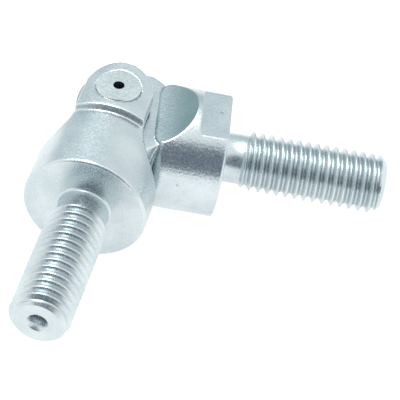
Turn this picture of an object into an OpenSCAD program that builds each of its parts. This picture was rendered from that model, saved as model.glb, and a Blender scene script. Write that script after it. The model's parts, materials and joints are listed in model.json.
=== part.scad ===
// Pin-jointed double-stud rod end: a fork with a threaded stud, a tongue with a
// threaded stud, a cross pin fixed in the fork's ears, and a ball that turns on
// the pin and lets the tongue tilt a few degrees. All sizes are millimetres.
// Origin: centre of the fork's seating face. The fork's stud points along -Y,
// and the pin's axis is parallel to +Z.

/* [Studs] */
// Major diameter of both threads
thread_d = 8; // [7.5:0.1:8.5]
// Thread pitch
thread_pitch = 1.25; // [1:0.05:1.3]
// Length of the fork's stud, from the seating face
fork_stud_l = 21.2; // [19:0.1:26]
// Length of the tongue's stud, from the end of its body
tongue_stud_l = 22; // [19:0.1:26]
// Diameter of the plain neck beside each body
neck_d = 6.7; // [6.5:0.05:6.9]
// Length of the plain neck beside each body
neck_l = 2.6; // [2:0.1:4]

/* [Fork] */
// Diameter of the fork's and the tongue's round bodies
body_d = 16.5; // [16.3:0.05:16.8]
// Distance from the fork's seating face to the pin's axis
seat_to_pin = 14.5; // [14:0.1:18]
// Diameter of the fork's round head, and so the height over both ears
ear_span = 18.4; // [17.8:0.1:19.2]
// Width of each ear
ear_w = 9.1; // [8.6:0.1:9.2]
// Radius of each ear's round end
ear_end_r = 4.7; // [4.6:0.05:4.8]
// Gap between the ears
slot_h = 12.1; // [12:0.05:12.4]
// Radius of the slot's floor about the pin's axis
slot_r = 8.5; // [8.4:0.05:8.6]

/* [Tongue] */
// Thickness of the tongue's eye
eye_h = 10.8; // [10.4:0.1:10.8]
// Diameter of the tongue's round head, before its faces are cut flat
eye_d = 17.9; // [17.2:0.1:17.9]
// Radius that the eye's shoulders are turned to, about the pin's axis
eye_r = 8.2; // [7.8:0.05:8.25]
// Distance from the pin's axis to the eye's rounded end
eye_end = 5.75; // [5.6:0.05:6.2]
// Distance from the pin's axis to the end of the tongue's round body
tongue_l = 14.8; // [14:0.1:18]
// Height over the two wrench flats
flats_h = 14.1; // [13.8:0.1:15]
// Length of the wrench flats
flats_l = 3.9; // [3:0.1:4]

/* [Pin and ball] */
// Diameter of the pin
pin_d = 6; // [5.8:0.05:6.1]
// How far each end of the pin stands out of its ear
pin_proud = 0.05; // [0.05:0.05:0.3]
// Diameter of the ball inside the tongue's eye
ball_d = 9.6; // [9.5:0.05:9.8]
// Radial clearance of the ball on the pin and in its seat
running_gap = 0.03; // [0.02:0.01:0.05]

/* [Rest pose] */
// Swing of the tongue away from straight, about the pin
rest_swing = 80.3; // [60:0.1:81]
// Tilt of the tongue's stud towards -Z
rest_tilt = 4.2; // [0:0.1:5]

/* [Hidden] */
$fn = 96;
eps = 0.01;

zinc = [0.72, 0.77, 0.79];
pin_steel = [0.70, 0.76, 0.76];
bearing_steel = [0.60, 0.62, 0.64];

body_r = body_d / 2;
edge_r = 1.6;
edge_chamfer = 0.25;

// A metric thread's depth and crest width, as shares of its pitch
thread_depth = 0.5413 * thread_pitch;
crest_w = thread_pitch / 8;
root_w = thread_pitch / 4;
flank_w = (thread_pitch - crest_w - root_w) / 2;
stud_chamfer = 0.9;
centre_hole_r = 1.4;
centre_hole_depth = 2.6;

// Fork: its wider head starts at a shoulder, and a round cutter leaves a hollow
// on both sides of the ears
head_r = ear_span / 2;
shoulder_from_pin = 4.2;
side_cut_r = 7.5;
side_cut_from_pin = 2.7;
press_depth = 0.01;

// Tongue: where its round body starts, and the scoops that run into its flats
tongue_body_start = 5.2;
scoop_r = 13;
scoop_x = 1.6;
scoop_z = eye_h / 2 + 12.6;
scoop_start = 4.7;

ball_neck_r = 3.35;
ball_neck_gap = 0.05;
seat_lip_z = 2.6;
seat_lip_r = 4.1;
seat_mouth_r = 3.9;

pin_chamfer = 0.15;
pin_hole_r = 0.75;
pin_hole_depth = 2.2;

// Half of a stud's outline, from its root at 0 to its tip at l. The thread is a
// row of rings with a metric profile; its crests lie at the major radius.
function stud_outline(l) =
    let (r = thread_d / 2,
         root = r - thread_depth,
         turns = floor((l - neck_l - stud_chamfer - root_w) / thread_pitch),
         first = l - stud_chamfer - turns * thread_pitch)
    concat(
        [[0, -1], [neck_d / 2, -1], [neck_d / 2, first - flank_w - root_w],
         [root, first - flank_w - root_w / 2]],
        [for (i = [0 : turns - 1], p = [[root, -flank_w], [r, 0], [r, crest_w], [root, crest_w + flank_w]])
            [p[0], first + i * thread_pitch + p[1]]],
        [[root, l - stud_chamfer - flank_w], [r - 0.05, l - stud_chamfer], [r - stud_chamfer, l], [0, l]]);

// A stud along +Z, with a centre hole drilled in its tip
module stud(l) {
    difference() {
        rotate_extrude() polygon(stud_outline(l));
        translate([0, 0, l - centre_hole_depth]) {
            cylinder(h = centre_hole_depth - centre_hole_r + eps, r = centre_hole_r / 2);
            translate([0, 0, centre_hole_depth - centre_hole_r])
                cylinder(h = centre_hole_r + eps, r1 = centre_hole_r / 2, r2 = centre_hole_r);
        }
    }
}

// A round bar along +Z from 0 to l, chamfered at 0 and rounded at l
module round_body(l, rounding) {
    rotate_extrude() {
        polygon(concat(
            [[0, 0], [body_r - edge_chamfer, 0], [body_r, edge_chamfer]],
            [for (a = [0 : 10 : 90])
                [body_r - rounding + rounding * cos(a), l - rounding + rounding * sin(a)]],
            [[0, l]]));
    }
}

// The turned blank of the fork along +Z, from its seating face at 0
module fork_blank() {
    shoulder = seat_to_pin - shoulder_from_pin;
    rotate_extrude() polygon([
        [0, 0], [body_r - edge_chamfer, 0], [body_r, edge_chamfer], [body_r, shoulder],
        [head_r - edge_chamfer / 2, shoulder], [head_r, shoulder + edge_chamfer / 2],
        [head_r, seat_to_pin + head_r], [0, seat_to_pin + head_r]]);
}

// Plan of the fork in the pin's frame: round ear ends, straight ear sides, and
// a body that the two side cuts run out in
module fork_plan() {
    intersection() {
        circle(r = ear_end_r);
        square([ear_w, 2 * head_r], center = true);
    }
    translate([-ear_w / 2, -side_cut_from_pin]) square([ear_w, side_cut_from_pin]);
    difference() {
        translate([-head_r - 1, -seat_to_pin - 1])
            square([2 * head_r + 2, seat_to_pin + 1 - side_cut_from_pin + eps]);
        for (side = [-1, 1]) translate([side * (ear_w / 2 + side_cut_r), -side_cut_from_pin])
            circle(r = side_cut_r);
    }
}

// Plan of the slot, in the pin's frame: round about the pin, and open at both sides
module slot_plan() {
    circle(r = slot_r);
    translate([-head_r - 1, 0]) square([2 * head_r + 2, head_r + 1]);
}

module fork_end() {
    color(zinc) translate([0, seat_to_pin, 0]) difference() {
        union() {
            intersection() {
                translate([0, -seat_to_pin, 0]) rotate([-90, 0, 0]) fork_blank();
                linear_extrude(ear_span + 2, center = true) fork_plan();
            }
            translate([0, -seat_to_pin, 0]) rotate([90, 0, 0]) stud(fork_stud_l);
        }
        linear_extrude(slot_h, center = true) slot_plan();
        cylinder(h = ear_span + 2, r = pin_d / 2 - press_depth, center = true);
    }
}

module hinge_pin() {
    half = ear_span / 2 + pin_proud;
    color(pin_steel) translate([0, seat_to_pin, 0]) difference() {
        union() {
            cylinder(h = 2 * (half - pin_chamfer), r = pin_d / 2, center = true);
            for (side = [0, 1]) mirror([0, 0, side]) translate([0, 0, half - pin_chamfer])
                cylinder(h = pin_chamfer, r1 = pin_d / 2, r2 = pin_d / 2 - pin_chamfer);
        }
        for (side = [0, 1]) mirror([0, 0, side]) translate([0, 0, half - pin_hole_depth])
            cylinder(h = pin_hole_depth + eps, r = pin_hole_r);
    }
}

// Places a child that is built along +X, with its eye at the origin
module at_rest() {
    translate([0, seat_to_pin, 0]) rotate([0, 0, 90 - rest_swing]) children();
}

module bearing_ball() {
    half = slot_h / 2 - ball_neck_gap;
    color(bearing_steel) at_rest() difference() {
        union() {
            sphere(d = ball_d);
            cylinder(h = 2 * half, r = ball_neck_r, center = true);
        }
        cylinder(h = 2 * half + 2, r = pin_d / 2 + running_gap, center = true);
    }
}

// One scoop and one wrench flat, cut from the side that faces +Z
module tongue_side_cut() {
    wide = body_d + 2;
    high = 20;
    translate([-wide / 2, -wide / 2, eye_h / 2]) cube([wide / 2 + scoop_start, wide, high]);
    translate([scoop_x, 0, scoop_z]) rotate([90, 0, 0]) cylinder(h = wide, r = scoop_r, center = true);
    translate([tongue_l - flats_l, -wide / 2, flats_h / 2]) cube([flats_l + 1, wide, high]);
}

// Half of the ball's seat: a spherical hollow that opens to the eye's face
module seat_half() {
    sphere(d = ball_d + 2 * running_gap);
    translate([0, 0, seat_lip_z])
        cylinder(h = eye_h / 2 - seat_lip_z + eps, r1 = seat_lip_r, r2 = seat_mouth_r);
}

// Plan of the eye: its shoulders are round about the pin, and its end is shorter
module eye_plan() {
    intersection() {
        circle(r = eye_r);
        translate([body_r - eye_end, 0]) circle(r = body_r);
    }
}

module tongue_end() {
    color(zinc) at_rest() rotate([0, rest_tilt, 0]) difference() {
        union() {
            difference() {
                translate([tongue_l, 0, 0]) rotate([0, -90, 0])
                    round_body(tongue_l - tongue_body_start, edge_r);
                for (side = [0, 1]) mirror([0, 0, side]) tongue_side_cut();
            }
            intersection() {
                linear_extrude(eye_h, center = true) eye_plan();
                rotate([0, 90, 0]) cylinder(h = 2 * body_d, d = eye_d, center = true);
            }
            translate([tongue_l, 0, 0]) rotate([0, 90, 0]) stud(tongue_stud_l);
        }
        for (side = [0, 1]) mirror([0, 0, side]) seat_half();
    }
}

fork_end();
hinge_pin();
bearing_ball();
tongue_end();
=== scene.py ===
"""Looks for a pin-jointed double-stud rod end: zinc-plated fork and tongue with real
helical threads, a turned cross pin and a ground ball. Lengths are metres unless a name
ends in _MM."""

import json
import math

import bmesh
import bpy
from mathutils import Matrix, Vector


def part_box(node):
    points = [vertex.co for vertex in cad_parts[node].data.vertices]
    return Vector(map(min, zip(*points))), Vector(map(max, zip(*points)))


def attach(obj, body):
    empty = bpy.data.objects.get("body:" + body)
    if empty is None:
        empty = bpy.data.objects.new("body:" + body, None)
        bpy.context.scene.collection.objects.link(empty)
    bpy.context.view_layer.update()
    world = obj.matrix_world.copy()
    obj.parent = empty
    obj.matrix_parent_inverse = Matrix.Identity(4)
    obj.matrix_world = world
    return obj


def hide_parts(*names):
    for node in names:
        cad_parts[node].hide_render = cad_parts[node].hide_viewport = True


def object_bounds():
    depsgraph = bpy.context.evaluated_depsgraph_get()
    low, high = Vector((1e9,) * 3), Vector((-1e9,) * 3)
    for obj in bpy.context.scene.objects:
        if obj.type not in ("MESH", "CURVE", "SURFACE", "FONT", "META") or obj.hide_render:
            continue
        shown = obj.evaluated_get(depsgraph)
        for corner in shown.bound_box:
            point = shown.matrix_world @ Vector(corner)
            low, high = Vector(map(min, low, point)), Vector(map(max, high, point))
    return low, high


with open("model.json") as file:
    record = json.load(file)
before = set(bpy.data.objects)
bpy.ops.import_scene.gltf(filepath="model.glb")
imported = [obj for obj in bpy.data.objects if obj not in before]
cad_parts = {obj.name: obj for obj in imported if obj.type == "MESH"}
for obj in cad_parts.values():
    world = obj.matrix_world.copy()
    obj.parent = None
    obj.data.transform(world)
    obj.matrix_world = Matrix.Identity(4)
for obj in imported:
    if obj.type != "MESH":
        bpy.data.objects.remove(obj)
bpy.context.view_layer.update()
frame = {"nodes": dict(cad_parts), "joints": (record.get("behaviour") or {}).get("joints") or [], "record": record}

scene = bpy.context.scene
MM = 0.001

# ---------------------------------------------------------------- frame facts
pin_low, pin_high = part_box("hinge_pin")
PIN = (pin_low + pin_high) / 2
TILT_AXIS = Vector(frame["joints"][1]["axis"])
mounts = {m["name"]: m for m in frame["record"]["mounts"]}
tongue_axis = Vector(mounts["tongue_stud"]["axis"]).normalized()

# The tongue's own frame: +X along its stud, +Y along its tilt axis, eye at the origin
tongue_y = TILT_AXIS.normalized()
tongue_z = tongue_axis.cross(tongue_y).normalized()
tongue_y = tongue_z.cross(tongue_axis).normalized()
TONGUE = Matrix.Translation(PIN) @ Matrix(
    [[tongue_axis[i], tongue_y[i], tongue_z[i]] for i in range(3)]
).to_4x4()

# ---------------------------------------------------------------- camera
AZIMUTH, ELEVATION, ROLL = (math.radians(a) for a in (8.03, 44.43, 8.40))
DISTANCE = 0.3343
SLIDE_RIGHT, SLIDE_UP = 0.01159, -0.00853


def make_camera():
    sa, ca, se, ce = math.sin(AZIMUTH), math.cos(AZIMUTH), math.sin(ELEVATION), math.cos(ELEVATION)
    back = Vector((sa * ce, -ca * ce, se))
    level_right = Vector((ca, sa, 0))
    level_up = Vector((-sa * se, ca * se, ce))
    right = math.cos(ROLL) * level_right + math.sin(ROLL) * level_up
    up = -math.sin(ROLL) * level_right + math.cos(ROLL) * level_up
    place = PIN + back * DISTANCE + right * SLIDE_RIGHT + up * SLIDE_UP
    camera = bpy.data.objects.new("camera", bpy.data.cameras.new("camera"))
    scene.collection.objects.link(camera)
    camera.matrix_world = Matrix.Translation(place) @ Matrix(
        [[right[i], up[i], back[i]] for i in range(3)]
    ).to_4x4()
    camera.data.lens = 225
    camera.data.sensor_width = 36
    camera.data.clip_start = 0.01
    camera.data.dof.use_dof = False
    scene.camera = camera


make_camera()


# ---------------------------------------------------------------- node helpers
class Tree:
    """Short calls that add nodes to a material's or world's tree."""

    def __init__(self, owner):
        owner.use_nodes = True
        self.tree = owner.node_tree
        self.tree.nodes.clear()

    def add(self, kind, inputs=(), **settings):
        node = self.tree.nodes.new(kind)
        for key, value in settings.items():
            setattr(node, key, value)
        for key, value in dict(inputs).items():
            if isinstance(value, bpy.types.NodeSocket):
                self.tree.links.new(value, node.inputs[key])
            else:
                node.inputs[key].default_value = value
        return node

    def maths(self, operation, a, b=0.0, clamp=False):
        return self.add("ShaderNodeMath", {0: a, 1: b}, operation=operation, use_clamp=clamp).outputs[0]

    def vector(self, operation, a, b=(0, 0, 0)):
        node = self.add("ShaderNodeVectorMath", {0: a, 1: b}, operation=operation)
        return node.outputs["Value" if operation == "DOT_PRODUCT" else "Vector"]

    def noise(self, where, scale, detail=2.0, rough=0.5):
        return self.add(
            "ShaderNodeTexNoise", {"Vector": where, "Scale": scale, "Detail": detail, "Roughness": rough}
        ).outputs["Fac"]

    def ramp(self, value, low, high, out_low=0.0, out_high=1.0):
        return self.add(
            "ShaderNodeMapRange",
            {"Value": value, "From Min": low, "From Max": high, "To Min": out_low, "To Max": out_high},
            interpolation_type="SMOOTHSTEP",
        ).outputs["Result"]

    def mix(self, factor, a, b):
        node = self.add("ShaderNodeMix", {0: factor, 6: a, 7: b}, data_type="RGBA")
        return node.outputs[2]


def rgb(r, g, b):
    return (r, g, b, 1.0)


# ---------------------------------------------------------------- materials
def plated(
    name, light, dark, along, place=Matrix(), rough=(0.2, 0.34), grain_um=9.0, lines_um=4.0,
    pits=True, painted_scoop_reflection=0.0, shaded_hole_mm=0.0, root_shade_mm=None,
):
    """Plated steel. along is the axis of the frame place across which lathe marks repeat.
    The scoop setting paints a dark reflection onto milled slopes that face the frame's -X. The hole
    setting is the radius in mm of a centre hole painted dark inside as shade, and the thread setting
    gives the two ends in mm of a thread along that axis, whose roots get painted shade."""
    material = bpy.data.materials.new(name)
    t = Tree(material)
    where = t.add("ShaderNodeTexCoord").outputs["Object"]
    facing = t.add("ShaderNodeNewGeometry").outputs["Normal"]
    facing = t.add(
        "ShaderNodeVectorTransform", {"Vector": facing},
        vector_type="NORMAL", convert_from="WORLD", convert_to="OBJECT",
    ).outputs[0]
    where = t.vector("SUBTRACT", where, place.to_translation())
    own = {i: t.vector("DOT_PRODUCT", where, place.col[i].xyz) for i in range(3)}
    where = t.add("ShaderNodeCombineXYZ", own).outputs[0]
    where = t.vector("MULTIPLY", where, (1000, 1000, 1000))
    clouds = t.noise(where, 0.22, 3.0, 0.55)
    streak_scale = [0.10, 0.10, 0.10]
    streak_scale[along] = 5.5
    streaks = t.noise(t.vector("MULTIPLY", where, streak_scale), 1.0, 3.0, 0.6)
    grain = t.noise(where, 3.2, 3.0, 0.6)
    colour = t.mix(t.ramp(clouds, 0.33, 0.67), rgb(*dark), rgb(*light))
    colour = t.mix(t.maths("MULTIPLY", t.ramp(streaks, 0.55, 0.8), 0.35), colour, rgb(*dark))
    roughness = t.maths(
        "ADD", t.ramp(grain, 0.3, 0.7, rough[0], rough[1]), t.maths("MULTIPLY", streaks, 0.06)
    )
    height = t.maths("MULTIPLY", grain, grain_um)
    height = t.maths("ADD", height, t.maths("MULTIPLY", streaks, lines_um))
    # Painted reflection: surfaces facing the frame's -X and tilted partly towards its ±Z are darkened in patches
    # towards teal-grey, standing in for dark surroundings reflected in the milled scoop.
    if painted_scoop_reflection:
        scoop_reflection_mask = t.ramp(t.vector("DOT_PRODUCT", facing, -place.col[0].xyz), 0.12, 0.62)
        level = t.maths("ABSOLUTE", t.vector("DOT_PRODUCT", facing, place.col[2].xyz))
        scoop_reflection_mask = t.maths("MULTIPLY", scoop_reflection_mask, t.ramp(level, 0.3, 0.6))
        scoop_reflection_mask = t.maths("MULTIPLY", scoop_reflection_mask, t.ramp(clouds, 0.2, 0.6, 0.75, 1.0))
        colour = t.mix(t.maths("MULTIPLY", scoop_reflection_mask, painted_scoop_reflection), colour, rgb(0.20, 0.32, 0.34))
    across = t.vector("MULTIPLY", where, [0 if i == along else 1 for i in range(3)])
    centre = t.maths("SQRT", t.vector("DOT_PRODUCT", across, across))
    # Painted shade: within the given radius round the axis the colour goes nearly black, as shade inside the
    # centre hole.
    if shaded_hole_mm:
        hole = t.ramp(centre, shaded_hole_mm - 0.04, shaded_hole_mm + 0.02, 1.0, 0.0)
        colour = t.mix(hole, colour, rgb(0.02, 0.025, 0.03))
    # Painted shade: near the root radius, between the given ends, the thread is darkened as shade in its roots.
    if root_shade_mm:
        first, last = root_shade_mm
        length = t.vector("DOT_PRODUCT", where, [1 if i == along else 0 for i in range(3)])
        root_shade = t.maths("MULTIPLY", t.ramp(centre, 3.38, 3.72, 1.0, 0.0), t.ramp(centre, 3.1, 3.2))
        root_shade = t.maths("MULTIPLY", root_shade, t.ramp(length, first, first + 0.3))
        root_shade = t.maths("MULTIPLY", root_shade, t.ramp(length, last - 0.3, last, 1.0, 0.0))
        colour = t.mix(t.maths("MULTIPLY", root_shade, 0.3), colour, rgb(0.22, 0.28, 0.30))
    if pits:
        cells = t.add("ShaderNodeTexVoronoi", {"Vector": where, "Scale": 0.3}, feature="F1")
        near = t.ramp(cells.outputs["Distance"], 0.05, 0.10, 1.0, 0.0)
        chosen = t.maths("GREATER_THAN", t.noise(where, 0.31, 0.0), 0.52)
        pit = t.maths("MULTIPLY", near, chosen)
        colour = t.mix(t.maths("MULTIPLY", pit, 0.45), colour, rgb(0.24, 0.29, 0.31))
        height = t.maths("SUBTRACT", height, t.maths("MULTIPLY", pit, 20.0))
    bump = t.add("ShaderNodeBump", {"Height": height, "Distance": 1e-6, "Strength": 1.0})
    shader = t.add(
        "ShaderNodeBsdfPrincipled",
        {"Base Color": colour, "Roughness": roughness, "Normal": bump.outputs["Normal"], "Metallic": 1.0},
    )
    t.add("ShaderNodeOutputMaterial", {"Surface": shader.outputs[0]})
    return material


# ---------------------------------------------------------------- meshes
def new_object(name, mesh):
    piece = bpy.data.objects.new(name, mesh)
    scene.collection.objects.link(piece)
    return piece


def smooth(piece, degrees):
    for polygon in piece.data.polygons:
        polygon.use_smooth = True
    piece.data.set_sharp_from_angle(angle=math.radians(degrees))


VOXEL = 0.14 * MM


def solid_without_stud(name, node, place, axis, sign, face):
    """A slightly softened copy of a CAD node, with the stud beyond its face cut off.
    The face lies at a distance along one axis of the frame place, on the side sign gives."""
    mesh = frame["nodes"][node].data.copy()
    mesh.transform(place.inverted())
    grid = bmesh.new()
    grid.from_mesh(mesh)
    bmesh.ops.remove_doubles(grid, verts=grid.verts, dist=1e-6)
    beyond = [v for v in grid.verts if sign * v.co[axis] > face + 1e-6]
    bmesh.ops.delete(grid, geom=beyond, context="VERTS")
    bmesh.ops.holes_fill(grid, edges=[e for e in grid.edges if e.is_boundary])
    bmesh.ops.recalc_face_normals(grid, faces=grid.faces)
    grid.to_mesh(mesh)
    grid.free()
    piece = new_object(name, mesh)
    remesh = piece.modifiers.new("even", "REMESH")
    remesh.mode = "VOXEL"
    remesh.voxel_size = VOXEL
    soften = piece.modifiers.new("soften", "SMOOTH")
    soften.factor = 0.5
    soften.iterations = 1
    bpy.context.view_layer.update()
    evaluated = piece.evaluated_get(bpy.context.evaluated_depsgraph_get())
    result = bpy.data.meshes.new_from_object(evaluated)
    piece.modifiers.clear()
    piece.data = result
    result.name = name
    for polygon in result.polygons:
        polygon.use_smooth = True
    result.transform(place)
    return piece


THREAD_R, ROOT_R, PITCH = 4.0 * MM, 3.323 * MM, 1.25 * MM
NECK_R, TIP_R = 3.35 * MM, 3.1 * MM
AROUND = 96
# One pitch of the thread: place along the pitch, and radius
PROFILE = [
    (0.00, ROOT_R),
    (0.10, ROOT_R + 0.015 * MM),
    (0.14, ROOT_R + 0.06 * MM),
    (0.27, (ROOT_R + THREAD_R) / 2 - 0.03 * MM),
    (0.415, THREAD_R - 0.05 * MM),
    (0.45, THREAD_R - 0.008 * MM),
    (0.50, THREAD_R),
    (0.55, THREAD_R - 0.008 * MM),
    (0.585, THREAD_R - 0.05 * MM),
    (0.73, (ROOT_R + THREAD_R) / 2 - 0.03 * MM),
    (0.86, ROOT_R + 0.06 * MM),
    (0.90, ROOT_R + 0.015 * MM),
]


# Base fillet and plain neck: height above the body's face and extra radius, mm
NECK_RINGS_MM = [(-1.0, 0.32), (0.0, 0.32), (0.08, 0.18), (0.2, 0.07), (0.4, 0.0), (1.2, 0.0)]
# Tip face and centre hole: height above the tip and radius, mm
TIP_RINGS_MM = [(0.0, 2.9), (0.0, 1.5), (-0.06, 1.38), (-1.3, 0.72), (-2.4, 0.70)]
HOLE_POINT_MM = -2.75
RUN_IN = 0.9 * MM


def stud_piece(name, length, neck, place):
    """A threaded stud along its own +Z with a right-hand helix, from inside its body to its tip."""
    grid = bmesh.new()

    def ring(z, r):
        return [
            grid.verts.new((r * math.cos(a), r * math.sin(a), z))
            for a in (2 * math.pi * j / AROUND for j in range(AROUND))
        ]

    def band(low, high):
        for j in range(AROUND):
            k = (j + 1) % AROUND
            grid.faces.new((low[j], low[k], high[k], high[j]))

    rings = [ring(z * MM, NECK_R + extra * MM) for z, extra in NECK_RINGS_MM]
    grid.faces.new(list(reversed(rings[0])))
    for low, high in zip(rings, rings[1:]):
        band(low, high)

    steps = len(PROFILE)
    turns = math.ceil((length - neck) / PITCH) + 2
    rows = []
    for k in range(turns * steps):
        share, radius = PROFILE[k % steps]
        row = []
        for j in range(AROUND):
            a = 2 * math.pi * j / AROUND
            z = neck - PITCH + (k // steps + share + j / AROUND) * PITCH
            z = min(max(z, neck), length)
            fade = min(max((z - neck) / RUN_IN, 0.0), 1.0)
            r = NECK_R + (radius - NECK_R) * fade
            r = min(r, TIP_R + (length - z))
            row.append(grid.verts.new((r * math.cos(a), r * math.sin(a), z)))
        rows.append(row)
    last = len(rows) - 1
    for k in range(last):
        for j in range(AROUND - 1):
            grid.faces.new((rows[k][j], rows[k][j + 1], rows[k + 1][j + 1], rows[k + 1][j]))
        seam, after = min(k + steps, last), min(k + 1 + steps, last)
        corners = [rows[k][-1], rows[seam][0], rows[after][0], rows[k + 1][-1]]
        if seam == after:
            corners.pop(2)
        grid.faces.new(corners)
    # rows[0] is one ring at the thread's start, and rows[-1] one ring at the tip
    band(rings[-1], rows[0])
    previous = rows[-1]
    for height, r in TIP_RINGS_MM:
        following = ring(length + height * MM, r * MM)
        band(previous, following)
        previous = following
    point = grid.verts.new((0, 0, length + HOLE_POINT_MM * MM))
    for j in range(AROUND):
        grid.faces.new((previous[j], previous[(j + 1) % AROUND], point))
    bmesh.ops.remove_doubles(grid, verts=grid.verts, dist=2e-7)
    bmesh.ops.dissolve_degenerate(grid, edges=grid.edges, dist=1e-8)
    bmesh.ops.recalc_face_normals(grid, faces=grid.faces)
    mesh = bpy.data.meshes.new(name)
    grid.to_mesh(mesh)
    grid.free()
    mesh.transform(place)
    piece = new_object(name, mesh)
    smooth(piece, 40)
    return piece


# The fork's own frame is the row frame, and its stud points along -Y
FORK_STUD = Matrix.Rotation(math.radians(90), 4, "X")
fork_low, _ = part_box("fork_end")
FORK_STUD_L, FORK_NECK = -fork_low.y, 2.7 * MM
TONGUE_L = 14.8 * MM
TONGUE_STUD_L, TONGUE_NECK = 22.0 * MM, 2.6 * MM
TONGUE_STUD = TONGUE @ Matrix.Translation((TONGUE_L, 0, 0)) @ Matrix.Rotation(math.radians(90), 4, "Y")

fork_body = solid_without_stud("fork_head", "fork_end", Matrix.Identity(4), 1, -1, 0.0)
tongue_body = solid_without_stud("tongue_head", "tongue_end", TONGUE, 0, 1, TONGUE_L)
fork_stud = stud_piece("fork_stud", FORK_STUD_L, FORK_NECK, FORK_STUD)
tongue_stud = stud_piece("tongue_stud", TONGUE_STUD_L, TONGUE_NECK, TONGUE_STUD)

ZINC_LIGHT, ZINC_DARK = (0.66, 0.73, 0.75), (0.56, 0.64, 0.67)
fork_zinc = plated("zinc_on_fork", ZINC_LIGHT, ZINC_DARK, 1)
# The tongue's milled scoop gets a painted reflection.
tongue_zinc = plated(
    "zinc_on_tongue", ZINC_LIGHT, ZINC_DARK, 0, TONGUE,
    rough=(0.16, 0.28), grain_um=28.0, painted_scoop_reflection=0.9,
)
# Both threads get painted shade in their roots.
fork_thread_zinc = plated(
    "zinc_on_fork_thread", ZINC_LIGHT, ZINC_DARK, 1,
    grain_um=6.0, lines_um=2.0, pits=False, root_shade_mm=(-20.4, -2.9),
)
tongue_thread_zinc = plated(
    "zinc_on_tongue_thread", ZINC_LIGHT, ZINC_DARK, 0, TONGUE,
    grain_um=6.0, lines_um=2.0, pits=False, root_shade_mm=(17.6, 36.0),
)
# The pin's centre holes get painted shade.
pin_finish = plated(
    "pin_steel", (0.66, 0.73, 0.74), (0.57, 0.64, 0.65), 2, Matrix.Translation(PIN),
    grain_um=5.0, pits=False, shaded_hole_mm=0.75,
)
ball_finish = plated(
    "bearing_steel", (0.66, 0.68, 0.70), (0.58, 0.60, 0.62), 2,
    rough=(0.1, 0.18), grain_um=1.5, lines_um=1.0, pits=False,
)

for piece, body, node, slot, material in (
    (fork_body, "fork", "fork_end", "zinc_plate", fork_zinc),
    (fork_stud, "fork", "fork_end", "zinc_plate", fork_thread_zinc),
    (tongue_body, "tongue", "tongue_end", "zinc_plate", tongue_zinc),
    (tongue_stud, "tongue", "tongue_end", "zinc_plate", tongue_thread_zinc),
):
    piece.data.materials.clear()
    piece.data.materials.append(material)
    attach(piece, body)
    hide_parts(node)

for node, material in (("hinge_pin", pin_finish), ("bearing_ball", ball_finish)):
    for slot in frame["nodes"][node].material_slots:
        slot.material = material

# ---------------------------------------------------------------- floor and light
floor_mesh = bpy.data.meshes.new("floor")
low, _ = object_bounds()
FLOOR_HALF, FLOOR_GAP = 1.5, 0.3 * MM
floor_mesh.from_pydata(
    [
        (x * FLOOR_HALF, y * FLOOR_HALF, low[2] - FLOOR_GAP)
        for x, y in ((-1, -1), (1, -1), (1, 1), (-1, 1))
    ],
    [],
    [(0, 1, 2, 3)],
)
floor = new_object("floor", floor_mesh)
floor_material = bpy.data.materials.new("floor_paper")
t = Tree(floor_material)
paper = t.add("ShaderNodeBsdfDiffuse", {"Color": rgb(0.93, 0.93, 0.93), "Roughness": 0.0})
glow = t.add("ShaderNodeEmission", {"Color": rgb(1.0, 1.0, 1.0), "Strength": 1.22})
mixed = t.add("ShaderNodeMixShader", {0: 0.75, 1: paper.outputs[0], 2: glow.outputs[0]})
t.add("ShaderNodeOutputMaterial", {"Surface": mixed.outputs[0]})
floor.data.materials.append(floor_material)

world = bpy.data.worlds.new("studio")
scene.world = world
t = Tree(world)
direction = t.add("ShaderNodeTexCoord").outputs["Generated"]
DARK_CARD = Vector((0.10, -0.90, 0.36)).normalized()
toward = t.vector("DOT_PRODUCT", direction, DARK_CARD)
card = t.ramp(toward, math.cos(math.radians(42)), math.cos(math.radians(30)))
behind = t.ramp(t.vector("DOT_PRODUCT", direction, (-0.25, 0.97, 0.0)), 0.3, 0.95)
shade = t.mix(behind, rgb(1.0, 1.0, 1.0), rgb(0.60, 0.68, 0.71))
shade = t.mix(card, shade, rgb(0.16, 0.19, 0.23))
background = t.add("ShaderNodeBackground", {"Color": shade, "Strength": 1.1})
t.add("ShaderNodeOutputWorld", {"Surface": background.outputs[0]})


def soft_light(name, place, aim, size, power):
    lamp = bpy.data.lights.new(name, "AREA")
    lamp.shape = "SQUARE"
    lamp.size = size
    lamp.energy = power
    holder = bpy.data.objects.new(name, lamp)
    scene.collection.objects.link(holder)
    holder.location = place
    holder.rotation_euler = (Vector(aim) - Vector(place)).to_track_quat("-Z", "Y").to_euler()


soft_light("top_light", (-0.15, 0.10, 0.5), PIN, 0.30, 1.5)

scene.view_settings.view_transform = "Standard"
